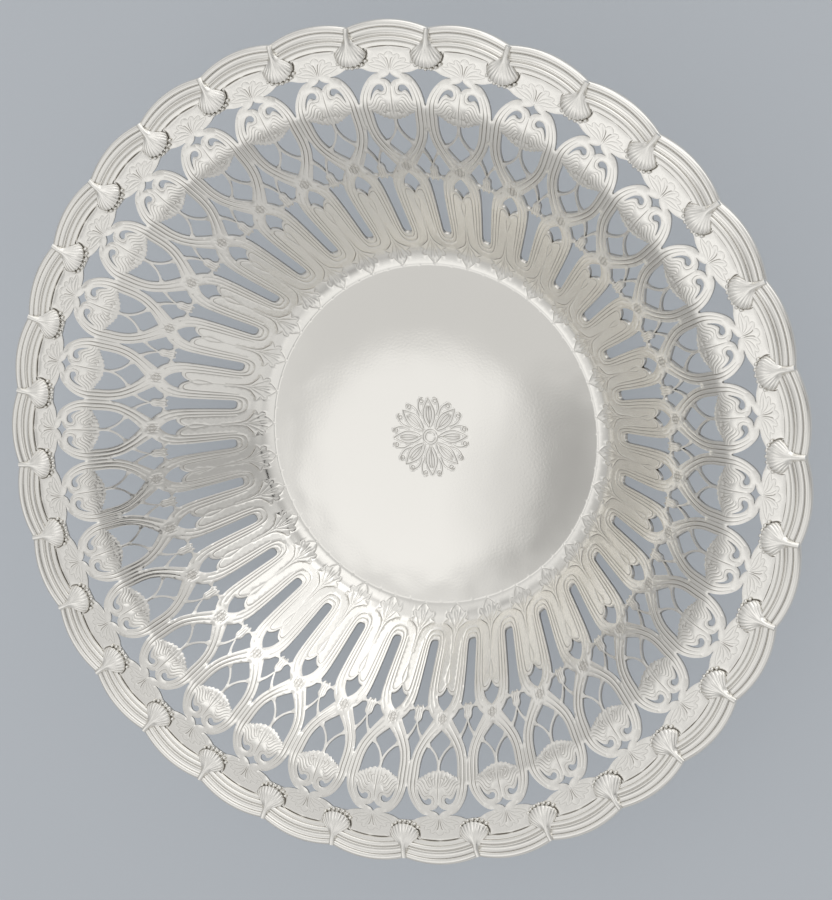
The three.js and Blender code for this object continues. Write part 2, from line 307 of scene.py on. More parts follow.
# %% Palmette and leaf
engrave([(0.0, 23.2), (0.0, 27.0), (0.0, 35.2)], RAY_LINE, 7)
engrave(smooth([(0.078, 22.2), (0.058, 24.0), (0.075, 25.8), (0.12, 26.4), (0.165, 26.0)], 3))
FEATHERS = [[(0.13, 27.2), (0.185, 26.0), (0.235, 26.9), (0.275, 28.9), (0.318, 30.4), (0.385, 30.9)],
            [(0.115, 28.3), (0.165, 27.2), (0.212, 28.2), (0.25, 30.1), (0.295, 31.4), (0.355, 31.9)],
            [(0.1, 29.4), (0.145, 28.5), (0.188, 29.5), (0.222, 31.2), (0.262, 32.3), (0.315, 32.7)],
            [(0.09, 30.6), (0.125, 29.9), (0.16, 30.9), (0.19, 32.4), (0.225, 33.2)]]
for feather in FEATHERS:
    engrave(smooth(feather, 3), depth=0.8)
for share in (0.11, 0.29, 0.47):
    end = fan_line[int((1 - share) * (len(fan_line) - 1))]
    root = (0.016 + 0.1 * share, 29.0 + 2.2 * share)
    middle = ((root[0] + end[0]) / 2 + 0.01, (root[1] + end[1]) / 2 - 0.5)
    engrave(smooth([root, middle, end - (0, 0.3)], 3), RAY_LINE, depth=0.5)
for root, tip in (((0.04, 33.4), (0.1, 32.0)), ((0.1, 34.0), (0.155, 32.8))):
    engrave(smooth([root, ((root[0] + tip[0]) / 2 + 0.02, (root[1] + tip[1]) / 2 + 0.5), tip], 3))
LEAF_LOBES = [[(0.06, 17.0), (0.17, 16.5), (0.27, 15.3), (0.3, 14.3)],
              [(0.3, 14.3), (0.245, 14.2), (0.2, 14.0)], [(0.2, 14.0), (0.225, 13.2), (0.215, 12.3)],
              [(0.215, 12.3), (0.17, 12.5), (0.125, 12.7)],
              [(0.125, 12.7), (0.14, 11.7), (0.12, 10.8)], [(0.12, 10.8), (0.085, 11.2), (0.055, 11.6)],
              [(0.055, 11.6), (0.04, 10.6), (0.0, 9.9)]]
for lobe_side in LEAF_LOBES:
    engrave(smooth(lobe_side, 3), depth=0.4)
for tip in ((0.25, 14.9), (0.18, 13.1), (0.1, 11.7)):
    vein = [(0.01 + 0.1 * tip[0], 17.0), (0.45 * tip[0] + 0.004, 0.5 * tip[1] + 8.0), tip]
    engrave(smooth(vein, 3), depth=0.45)
engrave(smooth([(0.012, 17.3), (0.012, 15.0), (0.028, 12.9), (0.05, 12.2)], 4), STRAP_LINE, depth=0.8)
print(len(strokes), "strokes with the palmette and the leaf")

# %% [markdown]
# Two broad, shallow cuts are painted shadow lines on the plate beside the border and the shells. The last
# strokes are those of the bud and of the tie that holds two straps where they cross.

# %% Corners, bud and crossing
# depth of the two painted shadow lines beside the border and the shells
SHADOW_LINE_DEPTH = 1.3
CROSSING = 59.7
# painted shadow line on the plate along the inner edge of the border
engrave([(x, 7.95 + 2.35 * (2 * x) ** 2) for x in np.linspace(0, 0.27, 9)], 0.8, depth=SHADOW_LINE_DEPTH)
# painted shadow line on the plate beside the shell's fan
shadow_beside_shell = [(0.292, 9.0), (0.286, 10.3), (0.303, 12.2), (0.345, 13.7), (0.39, 14.6)]
engrave(smooth(shadow_beside_shell, 3), 0.7, depth=SHADOW_LINE_DEPTH)
engrave(smooth([(0.46, 60.4), (0.452, 61.8), (0.462, 63.6), (0.452, 65.4)], 3))
engrave([(0.5, 60.0), (0.5, 61.8), (0.5, 65.4)], FINE_LINE, 4)
for reach in (2.3, 1.5, 0.8):
    tip = (reach / FLAT_WIDTH, CROSSING)
    engrave([(0.0, CROSSING - 1.1 * reach), tip], STRAP_LINE, 4, depth=0.6)
    engrave([tip, (0.0, CROSSING + 1.1 * reach)], STRAP_LINE, 4, depth=0.6)
for across in (0.035, 0.085):
    engrave([(across, 57.2 + 8 * across), (across, 62.6 - 8 * across)], FINE_LINE, 4)
print(len(strokes), "strokes in half a repeat")

# %% [markdown]
# ## From drawing to metal
# The half drawing is turned into triangles by a constrained triangulation: every outline and stroke is kept
# as edges, and a loose grid of points between them lets the metal bend. Triangles that fall inside an
# opening are left out, as the saw leaves them out. Each point then gets its height: low in a graver's cut,
# a little rounded over at a sawn edge. The share of each cut is stored on the points as `engraved`, so the
# metal can be darker there.

# %% Sides of a cut
def stroke_lines(line, width):
    """Left side, middle and right side of a cut that runs out at both ends, and its half widths."""
    flat = board(line)
    along = np.gradient(flat, axis=0)
    side = np.stack([-along[:, 1], along[:, 0]], 1) / np.linalg.norm(along, axis=1)[:, None]
    t = np.linspace(0, 1, len(flat))
    half = width / 2 * np.minimum(1, 0.35 + 3 * np.minimum(t, 1 - t))
    return flat + side * half[:, None], flat, flat - side * half[:, None], half


print("the first stroke is %.2f mm wide" % (2 * stroke_lines(*strokes[0][:2])[3].max()))

# %% [markdown]
# Two measures decide what becomes of a point: how far it lies from the nearest line, and whether it lies
# inside an outline. Both are worked out for all points at once, one line segment after the other.

# %% Distance and inside
def distance_to(points, starts, ends):
    """Distance from each point to the nearest of the segments, which segment it is and the place along it."""
    best = np.full(len(points), 1e9)
    which = np.zeros(len(points), int)
    place = np.zeros(len(points))
    for i, (a, b) in enumerate(zip(starts, ends)):
        span = b - a
        t = np.clip(((points - a) @ span) / max(span @ span, 1e-12), 0, 1)
        d = np.linalg.norm(points - (a + t[:, None] * span), axis=1)
        nearer = d < best
        best[nearer], which[nearer], place[nearer] = d[nearer], i, t[nearer]
    return best, which, place


def inside(points, outline):
    """Which points lie inside a closed outline."""
    found = np.zeros(len(points), bool)
    x, y = points.T
    for (x0, y0), (x1, y1) in zip(outline, np.roll(outline, -1, 0)):
        crosses = (y0 > y) != (y1 > y)
        with np.errstate(divide="ignore", invalid="ignore"):
            found ^= crosses & (x < (x1 - x0) * (y - y0) / (y1 - y0) + x0)
    return found


print("the middle of the slot is open:", bool(inside(board(slot).mean(0)[None], board(slot))[0]))

# %% [markdown]
# The triangulation takes the outlines, the cuts and the rim of half a repeat as lines that it must keep, and
# as many loose points as fit between them. Rows of points lie closer together where the fillet bends.

# %% Triangles of half a repeat
GRID, GRID_CLEARANCE = 1.7, 0.55
BEND_ROWS = np.arange(10, 13, 0.4)  # finer rows where the fillet bends into the well
NOTCH_SIDE = 0.5 * FLAT_WIDTH
SAME_POINT, CUT_SHADE = 2e-3, 1.9


def triangles_over(chains, loose, same_point=SAME_POINT):
    """Flat points and triangles over lines, given as (points, closed), and the loose points between them."""
    verts, edges = [], []
    for chain, closed in chains:
        base = len(verts)
        verts += [Vector(p) for p in chain]
        count = len(chain)
        edges += [(base + i, base + (i + 1) % count) for i in range(count if closed else count - 1)]
    verts += [Vector(p) for p in loose]
    flat, _, faces, *_ = delaunay_2d_cdt(verts, edges, [], 0, same_point)
    return np.array([tuple(v) for v in flat]), np.array(faces)


def triangulated(first, last, end_steps, cuts):
    """Half a repeat of sheet between two distances along it: flat points, triangles and engraved share."""
    def within(line):
        return line[:, 1].max() > first and line[:, 1].min() < last

    outlines = [board(line) for line in OPENINGS.values() if within(line)]
    chains = [(line, True) for line in outlines]
    middles, halves, depths = [], [], []
    for line, width, depth in cuts:
        if not within(line):
            continue
        left, middle, right, half = stroke_lines(line, width)
        for chain in (left, middle, right):
            chain = chain[(chain[:, 0] > -0.01) & (chain[:, 0] < NOTCH_SIDE + 0.01)]
            chain[:, 0] = np.clip(chain[:, 0], 0, NOTCH_SIDE)
            chains.append((chain, False))
        middles.append(middle)
        halves.append(half)
        depths.append(np.full(len(half) - 1, depth))
    across = np.linspace(0, NOTCH_SIDE, end_steps + 1)
    down = np.linspace(first, last, int((last - first) / GRID) + 1)
    rim = [np.stack([across, 0 * across + first], 1), np.stack([0 * down + NOTCH_SIDE, down], 1),
           np.stack([across[::-1], 0 * across + last], 1), np.stack([0 * down, down[::-1]], 1)]
    chains += [(line, False) for line in rim]

    starts = np.vstack([c if closed else c[:-1] for c, closed in chains])
    ends = np.vstack([np.roll(c, -1, 0) if closed else c[1:] for c, closed in chains])
    rows = np.arange(first + GRID, last - GRID / 2, GRID * 0.87)
    bend_rows = FLOOR_START - BEND_ROWS
    rows = np.union1d(rows, bend_rows[(bend_rows > first + GRID) & (bend_rows < last - GRID)])
    loose = np.array([(x, y) for k, y in enumerate(rows)
                      for x in np.arange(GRID * (0.5 if k % 2 else 1), NOTCH_SIDE - GRID / 3, GRID)])
    loose = loose[distance_to(loose, starts, ends)[0] > GRID_CLEARANCE]
    for outline in outlines:
        loose = loose[~inside(loose, outline)]

    flat, faces = triangles_over(chains, loose)
    centre = flat[faces].mean(1)
    kept = (centre[:, 0] > 0) & (centre[:, 0] < NOTCH_SIDE) & (centre[:, 1] > first) & (centre[:, 1] < last)
    for outline in outlines:
        kept &= ~inside(centre, outline)
    used, faces = np.unique(faces[kept], return_inverse=True)
    flat = flat[used]
    faces = faces.reshape(-1, 3)

    engraved = np.zeros(len(flat))
    if middles:
        a = np.vstack([m[:-1] for m in middles])
        b = np.vstack([m[1:] for m in middles])
        wide = np.concatenate([h[:-1] for h in halves]), np.concatenate([h[1:] for h in halves])
        distance, which, place = distance_to(flat, a, b)
        half = wide[0][which] * (1 - place) + wide[1][which] * place
        share = np.clip(1 - distance / half, 0, 1) * half / (STRAP_LINE / 2)
        engraved = np.clip(CUT_SHADE * (share * np.concatenate(depths)[which]), 0, CUT_SHADE)
    return flat, faces, engraved


print("loose points stand", GRID, "mm apart")

# %% [markdown]
# The upper edge of each opening is eased, as a file and years of polishing leave it, so each point needs its
# distance from the nearest sawn edge. Lines on the mirror axis or between two repeats are no sawn edges.

# %% Sawn edges, and the other half
EASED_EDGE, EASED_DEPTH = 0.34, 0.16


def sawn_distance(flat):
    """How far each point lies from the nearest sawn edge."""
    starts, ends = [], []
    for line in OPENINGS.values():
        a, b = board(line), np.roll(board(line), -1, 0)
        real = ~(((a[:, 0] == 0) & (b[:, 0] == 0)) | ((a[:, 0] == NOTCH_SIDE) & (b[:, 0] == NOTCH_SIDE)))
        starts.append(a[real])
        ends.append(b[real])
    return distance_to(flat, np.vstack(starts), np.vstack(ends))[0]


def both_sides(flat, faces):
    """A half drawing and its mirror image."""
    mirror = flat * [-1, 1]
    return np.vstack([flat, mirror]), np.vstack([faces, faces[:, ::-1] + len(flat)])


print("edges are eased over", EASED_EDGE, "mm")

# %% [markdown]
# A mesh could be built with modelling operators, but here it is made from plain lists of points and faces,
# which keeps every number of the drawing. The engraved share is stored on the points in the same step.

# %% Mesh objects
def in_scene(name, data):
    made = bpy.data.objects.new(name, data)
    bpy.context.scene.collection.objects.link(made)
    return made


def mesh_object(name, points, faces, **point_values):
    """An object from points in metres and faces, with any named values stored on the points."""
    mesh = bpy.data.meshes.new(name)
    mesh.from_pydata([tuple(p) for p in points], [], [tuple(int(i) for i in f) for f in faces])
    for key, values in point_values.items():
        mesh.attributes.new(key, "FLOAT", "POINT").data.foreach_set("value", np.asarray(values, np.float32))
    return in_scene(name, mesh)


print("meshes hold points in metres")

# %% [markdown]
# The drawn half and its mirror image make one cell of sheet. The sheet is kept as two pieces that meet on
# one line, the flange with the ovals and the wall with the well, because one piece would be too heavy.

# %% One cell of the upper face
CELL_END_STEPS, PARTING = 4, 45
CUT_DEPTH = 0.07


def place_flat(flat, lift):
    """Points of the bowl for flat points of the drawing in millimetres."""
    return on_bowl(flat[:, 0] / FLAT_WIDTH + 0.5, flat[:, 1], lift)


def make_cell_face(name, first, last):
    flat, faces, engraved = triangulated(first, last, CELL_END_STEPS, strokes)
    eased = EASED_DEPTH * np.clip(1 - sawn_distance(flat) / EASED_EDGE, 0, 1)
    lift = -eased - CUT_DEPTH * engraved / CUT_SHADE
    whole, whole_faces = both_sides(flat, faces)
    print(name, "has", len(whole_faces), "triangles")
    return mesh_object(name, place_flat(whole, np.tile(lift, 2)), whole_faces, engraved=np.tile(engraved, 2))


flange_face = make_cell_face("flange_face", SHEET_EDGE, PARTING)
wall_face = make_cell_face("wall_face", PARTING, FLOOR_START)

# %% [markdown]
# The underside is the same sheet without the engraving, and the sawn walls of the openings join the two.
# The walls stand on the outlines themselves: each piece of outline becomes one small upright face that
# looks into the opening. The walls get painted shade through their engraved share, darker towards their
# lower edge.

# %% Underside and sawn walls
under_flat, under_faces, _ = triangulated(SHEET_EDGE, FLOOR_START, CELL_END_STEPS, [])
under, under_all = both_sides(under_flat, under_faces)
cell_under = mesh_object("cell_under", place_flat(under, -SHEET), under_all[:, ::-1])
# painted shade on the sawn walls, lighter at the upper edge and darker at the lower edge
WALL_TOP_SHADE, WALL_LOW_SHADE = 0.35, 1.0


def anticlockwise(line):
    area = np.sum(line[:, 0] * np.roll(line[:, 1], -1) - np.roll(line[:, 0], -1) * line[:, 1])
    return line if area > 0 else line[::-1]


def sawn_lines(outline):
    """An opening's outline and its mirror image, each as one line without what lies on the mirror line."""
    line = anticlockwise(board(outline))
    lines = []
    for side in (line, anticlockwise(line * [-1, 1])):
        on_axis = (np.abs(side[:, 0]) < 1e-6) | (np.abs(np.abs(side[:, 0]) - NOTCH_SIDE) < 1e-6)
        if on_axis.any():
            breaks = [i for i in range(len(side)) if on_axis[i] and on_axis[(i + 1) % len(side)]]
            start = breaks[0] + 1 if breaks else int(np.argmax(on_axis))
            side = np.roll(side, -start, 0)
            if not breaks:
                side = np.vstack([side, side[:1]])
        else:
            side = np.vstack([side, side[:1]])
        lines.append(side)
    return lines


def make_cell_walls(name, lines):
    """Faces along flat lines, from the eased upper edge down to the underside, facing the lines' left."""
    points, quads, wall_shade = [], [], []
    for line in lines:
        base = len(points)
        count = len(line)
        points += [*place_flat(line, -EASED_DEPTH), *place_flat(line, -SHEET)]
        # the walls' engraved share is painted shade
        wall_shade += [WALL_TOP_SHADE] * count + [WALL_LOW_SHADE] * count
        quads += [(base + i, base + i + 1, base + count + i + 1, base + count + i) for i in range(count - 1)]
    print(name, "has", len(quads), "faces")
    return mesh_object(name, points, quads, engraved=wall_shade)


edge = np.linspace(NOTCH_SIDE, -NOTCH_SIDE, 2 * CELL_END_STEPS + 1)
flange_lines, wall_lines = [np.stack([edge, 0 * edge + SHEET_EDGE], 1)], []
for outline in OPENINGS.values():
    (flange_lines if outline[:, 1].mean() < PARTING else wall_lines).extend(sawn_lines(outline))
flange_walls = make_cell_walls("flange_walls", flange_lines)
wall_walls = make_cell_walls("wall_walls", wall_lines)

# %% [markdown]
# ## Small tools for nodes
# The repeats, the metals and the sky are all node trees. A node is added with its inputs and its settings in
# one call. An input is a plain number, another node, which stands for its first output, or any other output.

# %% Node tools
def feed(node, inputs):
    """Sets the inputs of a node, or links them to another node's first output or to any one output."""
    for socket, value in inputs.items():
        if isinstance(value, bpy.types.Node):
            value = value.outputs[0]
        if isinstance(value, bpy.types.NodeSocket):
            node.id_data.links.new(value, node.inputs[socket])
        else:
            node.inputs[socket].default_value = value


def node_adder(tree):
    """A short way to add nodes to one tree."""
    def add(kind, inputs, **settings):
        node = tree.nodes.new(kind)
        for name, setting in settings.items():
            setattr(node, name, setting)
        feed(node, inputs)
        return node
    return add


print("an input takes a number, a node or an output")

# %% [markdown]
# ## Repeating round the bowl
# Whatever was drawn once is now set out round the axis by one small node tree: a point for each repeat, an
# instance on each point turned by its share of the circle, then real geometry, welded where neighbours
# meet. The count, the weld distance and the metal are inputs, so the same tree sets out the sheet, the
# border and the shells.

# %% Node tree that repeats a piece round the axis
def make_repeat_tree():
    tree = bpy.data.node_groups.new("repeat_round_axis", "GeometryNodeTree")
    for name, kind in (("Geometry", "NodeSocketGeometry"), ("Count", "NodeSocketInt"),
                       ("Weld Distance", "NodeSocketFloat"), ("Metal", "NodeSocketMaterial")):
        tree.interface.new_socket(name, in_out="INPUT", socket_type=kind)
    tree.interface.new_socket("Geometry", in_out="OUTPUT", socket_type="NodeSocketGeometry")
    add = node_adder(tree)
    given = add("NodeGroupInput", {}).outputs

    points = add("GeometryNodePoints", {"Count": given["Count"]})
    share = add("ShaderNodeMath", {0: 2 * math.pi, 1: given["Count"]}, operation="DIVIDE")
    turn = add("ShaderNodeMath", {0: add("GeometryNodeInputIndex", {}), 1: share}, operation="MULTIPLY")
    rotation = add("ShaderNodeCombineXYZ", {"Z": turn})
    instances = add("GeometryNodeInstanceOnPoints", {
        "Points": points, "Instance": given["Geometry"], "Rotation": rotation})
    real = add("GeometryNodeRealizeInstances", {0: instances})
    weld = add("GeometryNodeMergeByDistance", {"Geometry": real, "Distance": given["Weld Distance"]})
    metal = add("GeometryNodeSetMaterial", {"Geometry": weld, "Material": given["Metal"]})
    add("NodeGroupOutput", {0: metal})
    return tree


REPEAT_TREE = make_repeat_tree()
print("node tree with", len(REPEAT_TREE.nodes), "nodes")

# %% [markdown]
# A finished piece starts from one or more drawn cells. They are joined, the tree sets them out, and the
# result becomes a plain mesh, because the exported model holds no instances. Edges sharper than an angle
# stay crisp. Each piece then rides on the bowl's one body and stands for its solids in the frame.

# %% From drawn cells to a finished piece
SHARP_ANGLE, WELD = 50, 0.002


def triangle_count(mesh):
    return sum(len(p.vertices) - 2 for p in mesh.polygons)


def joined_objects(objects):
    """Several objects as one, which keeps the first one's name."""
    bpy.ops.object.select_all(action="DESELECT")
    for part in objects:
        part.select_set(True)
    bpy.context.view_layer.objects.active = objects[0]
    if len(objects) > 1:
        bpy.ops.object.join()
    return objects[0]


def repeated(cells, name, metal, sharp_angle=SHARP_ANGLE, weld=WELD):
    """One finished piece from the drawn cells, set out round the axis by the node tree."""
    cell = joined_objects(cells)
    cell.data.materials.append(metal)
    modifier = cell.modifiers.new("round", "NODES")
    modifier.node_group = REPEAT_TREE
    ids = {item.name: item.identifier for item in REPEAT_TREE.interface.items_tree if item.in_out == "INPUT"}
    modifier[ids["Count"]] = REPEATS
    modifier[ids["Weld Distance"]] = weld * MM
    modifier[ids["Metal"]] = metal
    evaluated = cell.evaluated_get(bpy.context.evaluated_depsgraph_get())
    mesh = bpy.data.meshes.new_from_object(evaluated)
    bpy.data.objects.remove(cell)
    mesh.name = name
    mesh.shade_smooth()
    mesh.set_sharp_from_angle(angle=math.radians(sharp_angle))
    print(name, "has", triangle_count(mesh), "triangles")
    return in_scene(name, mesh)


def finished(piece, nodes):
    """Joins a piece to the frame: it rides on the bowl's one body and stands for its CAD solids."""
    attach(piece, "root")
    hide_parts(*nodes)


print("points closer than", WELD, "mm are welded")

# %% [markdown]
# ## The silver
# All pieces are silver, and differ only in how they were worked. The metal is a metallic surface whose
# roughness wanders a little, since years of polishing leave it uneven. Very shallow waves from the raising
# hammer make reflections swim. The graver's cuts keep a brown-grey tarnish that a cloth can't reach. The same
# colour is also painted shade: an occlusion term darkens corners and hollows, and the engraved share carries
# painted shadow lines beside the border and the shells and painted shade on the sawn walls. The well is
# polished brighter than the engraved sheet round it, and its waves are weaker, because there each wave would
# show as a blot.

# %% Silver finishes
SILVER = (0.872, 0.856, 0.818)
# tarnish in the graver's cuts; the same colour is painted shade in corners, hollows and on the sawn walls
TARNISH_AND_SHADE = (0.17, 0.15, 0.12)
CUT_DARKENING, DARKENED_ROUGHNESS, SHELTERED = 0.75, 0.3, (0.3, 0.85)
WELL_POLISH, WELL_WAVES = 0.3, 0.03
POLISH_FADES, WAVES_GROW = (66 * MM, 84 * MM), (55 * MM, 90 * MM)  # over these distances from the axis
DARKENING_NOISE, ROUGH_NOISE, FINE_NOISE = (120.0, 4.0), (45.0, 5.0), (900.0, 3.0)  # scale and detail


def make_silver(name, roughness, wander, waves, wave_size, shade_reach, shade_strength, fine_waves, well=False):
    """Silver of one roughness; the waves' height and size and the painted shade's reach are in millimetres.
    """
    metal = bpy.data.materials.new(name)
    metal.use_nodes = True
    add = node_adder(metal.node_tree)
    place = add("ShaderNodeTexCoord", {}).outputs["Object"]

    def noise(scale, detail):
        return add("ShaderNodeTexNoise", {"Scale": scale, "Detail": detail, "Vector": place}).outputs["Fac"]

    def ranged(value, low, high, to_low, to_high):
        return add("ShaderNodeMapRange", {
            "Value": value, "From Min": low, "From Max": high, "To Min": to_low, "To Max": to_high})

    def maths(kind, first, second, clamp=False):
        return add("ShaderNodeMath", {0: first, 1: second}, operation=kind, use_clamp=clamp)

    cut = add("ShaderNodeAttribute", {}, attribute_name="engraved").outputs["Fac"]
    # painted shade: the occlusion term darkens corners and hollows
    hollow = add("ShaderNodeAmbientOcclusion", {"Distance": shade_reach * MM}, samples=6).outputs["AO"]
    shade = ranged(hollow, *SHELTERED, shade_strength, 0.0)
    # the engraved share: tarnish in the cuts, painted shadow lines and painted shade on the sawn walls
    deep = maths("MULTIPLY", cut, CUT_DARKENING, True)
    patchy = ranged(noise(*DARKENING_NOISE), 0.35, 0.65, 0.75, 1.0)
    dark = maths("MULTIPLY", maths("MAXIMUM", shade, deep), patchy)
    colour = add("ShaderNodeMix", {"Factor": dark, "A": (*SILVER, 1), "B": (*TARNISH_AND_SHADE, 1)}, data_type="RGBA")

    rough = ranged(noise(*ROUGH_NOISE), 0.3, 0.7, roughness - wander, roughness + wander)
    wave_height = waves * MM
    if well:
        flat_place = add("ShaderNodeVectorMath", {0: place, 1: (1, 1, 0)}, operation="MULTIPLY")
        from_axis = add("ShaderNodeVectorMath", {0: flat_place}, operation="LENGTH").outputs["Value"]
        rough = maths("MULTIPLY", rough, ranged(from_axis, *POLISH_FADES, WELL_POLISH, 1.0))
        wave_height = ranged(from_axis, *WAVES_GROW, WELL_WAVES * MM, waves * MM)
    waved = add("ShaderNodeBump", {
        "Strength": 1.0, "Distance": wave_height, "Height": noise(1000 / wave_size, 1.0)})
    fine = add("ShaderNodeBump", {
        "Strength": 1.0, "Distance": fine_waves * MM, "Height": noise(*FINE_NOISE), "Normal": waved})
    feed(metal.node_tree.nodes["Principled BSDF"], {
        "Metallic": 1.0, "Base Color": colour.outputs["Result"], "Normal": fine,
        "Roughness": maths("ADD", rough, maths("MULTIPLY", dark, DARKENED_ROUGHNESS))})
    return metal


# roughness and its wander, height and size of the waves, reach and strength of the painted shade, height of
# fine waves
sheet_silver = make_silver("polished_sheet", 0.16, 0.04, 0.25, 20, 0.7, 0.35, 0.004, well=True)
under_silver = make_silver("plain_underside", 0.24, 0.06, 0.2, 12, 1.0, 0.3, 0.015)
cast_silver = make_silver("cast_border", 0.17, 0.05, 0.04, 6, 0.9, 0.45, 0.003)
shell_silver = make_silver("cast_shell", 0.22, 0.05, 0.04, 4, 0.6, 0.35, 0.01)
foot_silver = make_silver("turned_foot", 0.2, 0.05, 0.1, 20, 2.0, 0.3, 0.005)
print("five finishes of the same silver")

# %% [markdown]
# ## The well
# The well is flat and bright. Its rings carry on from the last ring of the repeats, so that the sheet is
# one skin and the reflection runs on without a seam. The middle is engraved with a round ornament of leaves
# and scrolls, of which one leaf is drawn.

# %% One leaf of the ornament
SPIRAL_POINTS = 18


def on_circle(radius, angles):
    return radius * np.stack([np.cos(angles), np.sin(angles)], 1)


def spiral(centre, start_angle, start_radius, end_radius, turns):
    t = np.linspace(0, 1, SPIRAL_POINTS)
    radius = start_radius + (end_radius - start_radius) * t
    angle = start_angle + turns * 2 * math.pi * t
    return centre + on_circle(radius[:, None], angle)


def ornament_strokes():
    """One eighth of the ornament in millimetres from the centre, pointing along +X."""
    def flat_curve(points, side=1):
        return board(smooth([(x / FLAT_WIDTH, y * side) for x, y in points], 5))

    lines = []
    for side in (1, -1):
        lines.append(flat_curve([(4.2, 0.5), (7.5, 2.2), (11.0, 2.6), (14.0, 1.6), (17.0, 0)], side))
        lines.append(flat_curve([(6.0, 0.2), (8.6, 1.0), (11.2, 1.2), (13.4, 0.7)], side))
        lines.append(flat_curve([(9.5, 3.2), (12.5, 4.6), (15.4, 4.4), (17.2, 2.9)], side))
        lines.append(spiral((16.0, 3.0 * side), -0.4 * side, 1.5, 0.35, 1.15 * side))
    lines.append(flat_curve([(5.0, 0), (9.0, 0), (13.0, 0)]))
    return lines


print(len(ornament_strokes()), "strokes in one leaf")

# %% [markdown]
# The leaf is turned round the centre and triangulated like the sheet, within a circle whose points stand at
# the same angles as those of the last ring of the repeats. Plain rings fill the way out to the fillet.

# %% Well with its engraved ornament
WELL_RING, WELL_STEPS = 2 * CELL_END_STEPS * REPEATS, 9
ORNAMENT_RADIUS, ORNAMENT_LEAVES = 22, 8
INNER_CIRCLES, CIRCLE_POINTS = (3.3, 2.2), 48
WELL_LINE, WELL_CUT = 0.4, 0.14
WELL_GRID, WELL_CLEARANCE = 0.8, 0.45  # fine, so that the flat silver beside a cut is flat again at once


def make_well():
    ring_angles = 2 * math.pi * np.arange(WELL_RING) / WELL_RING
    chains = [(on_circle(ORNAMENT_RADIUS, ring_angles), True)]
    lines = []
    for leaf in range(ORNAMENT_LEAVES):
        turn = 2 * math.pi * leaf / ORNAMENT_LEAVES
        spin = np.array([[math.cos(turn), -math.sin(turn)], [math.sin(turn), math.cos(turn)]])
        lines += [line @ spin.T for line in ornament_strokes()]
    circle_angles = 2 * math.pi * np.arange(CIRCLE_POINTS + 1) / CIRCLE_POINTS
    lines += [on_circle(radius, circle_angles) for radius in INNER_CIRCLES]
    middles, halves = [], []
    for line in lines:
        left, middle, right, half = stroke_lines(line / [FLAT_WIDTH, 1], WELL_LINE)
        chains += [(chain, False) for chain in (left, middle, right)]
        middles.append(middle)
        halves.append(half[:-1])
    grid = np.arange(-ORNAMENT_RADIUS, ORNAMENT_RADIUS, WELL_GRID)
    loose = np.array([(x, y) for x in grid for y in grid if math.hypot(x, y) < ORNAMENT_RADIUS - 1])
    segments = np.vstack([m[:-1] for m in middles]), np.vstack([m[1:] for m in middles])
    loose = loose[distance_to(loose, *segments)[0] > WELL_CLEARANCE]
    flat, faces = triangles_over(chains, loose, SAME_POINT / 2)
    distance, which, _ = distance_to(flat, *segments)
    cut = np.clip(1 - distance / np.concatenate(halves)[which], 0, 1)
    points = [np.array([x, y, FLOOR_HEIGHT - WELL_CUT * c]) * MM for (x, y), c in zip(flat, cut)]
    faces = [tuple(f) for f in faces if np.linalg.norm(flat[list(f)].mean(0)) < ORNAMENT_RADIUS]
    base = len(points)
    for radius in np.linspace(ORNAMENT_RADIUS, FLOOR_RADIUS, WELL_STEPS):
        points += [np.array([radius * math.cos(t), radius * math.sin(t), FLOOR_HEIGHT]) * MM
                   for t in ring_angles]
    for row in range(WELL_STEPS - 1):
        for i in range(WELL_RING):
            j = (i + 1) % WELL_RING
            inner, outer = base + row * WELL_RING, base + (row + 1) * WELL_RING
            faces.append((inner + i, outer + i, outer + j, inner + j))
    cuts = np.concatenate([cut, np.zeros(WELL_STEPS * WELL_RING)])
    return mesh_object("well_floor", points, faces, engraved=cuts)


well_floor = make_well()
print("well floor drawn with", len(well_floor.data.polygons), "faces")

# %% [markdown]
# ## Putting the sheet together
# The upper face, the sawn walls and the well are welded into one skin. The underside is the other, and the
# walls meet it at the lower edge of each opening.

# %% Finished sheet
def lathe(name, profile, segments, closed=False):
    """A turned shape from points (radius, height) in millimetres, with the metal on the left of the way."""
    angles = 2 * math.pi * np.arange(segments) / segments
    points = [np.array([r * math.cos(t), r * math.sin(t), z]) * MM for r, z in profile for t in angles]
    rows = len(profile)
    quads = []
    for row in range(rows if closed else rows - 1):
        a, b = row * segments, (row + 1) % rows * segments
        for i in range(segments):
            j = (i + 1) % segments
            quads.append((a + i, a + j, b + j, b + i))
    return mesh_object(name, points, quads)


def weld_well(piece, well):
    """Joins the well to the repeated sheet and welds the ring of points that they share."""
    well.data.materials.append(piece.data.materials[0])
    joined_objects([piece, well])
    skin = bmesh.new()
    skin.from_mesh(piece.data)
    bmesh.ops.remove_doubles(skin, verts=skin.verts, dist=0.01 * MM)
    skin.to_mesh(piece.data)
    skin.free()
    piece.data.shade_smooth()


pierced_flange = repeated([flange_face, flange_walls], "pierced_flange", sheet_silver)
finished(pierced_flange, ["pierced_bowl"])
pierced_wall = repeated([wall_face, wall_walls], "pierced_wall", sheet_silver)
weld_well(pierced_wall, well_floor)
pierced_wall.data.set_sharp_from_angle(angle=math.radians(SHARP_ANGLE))
print("pierced_wall has", triangle_count(pierced_wall.data), "triangles with the well")
finished(pierced_wall, ["pierced_bowl"])
under_sheet = repeated([cell_under], "sheet_underside", under_silver)
disc_line = [(radius, FLOOR_HEIGHT - SHEET) for radius in (0.0, FLOOR_RADIUS)]
weld_well(under_sheet, lathe("underside_disc", disc_line, WELL_RING))
finished(under_sheet, ["pierced_bowl"])

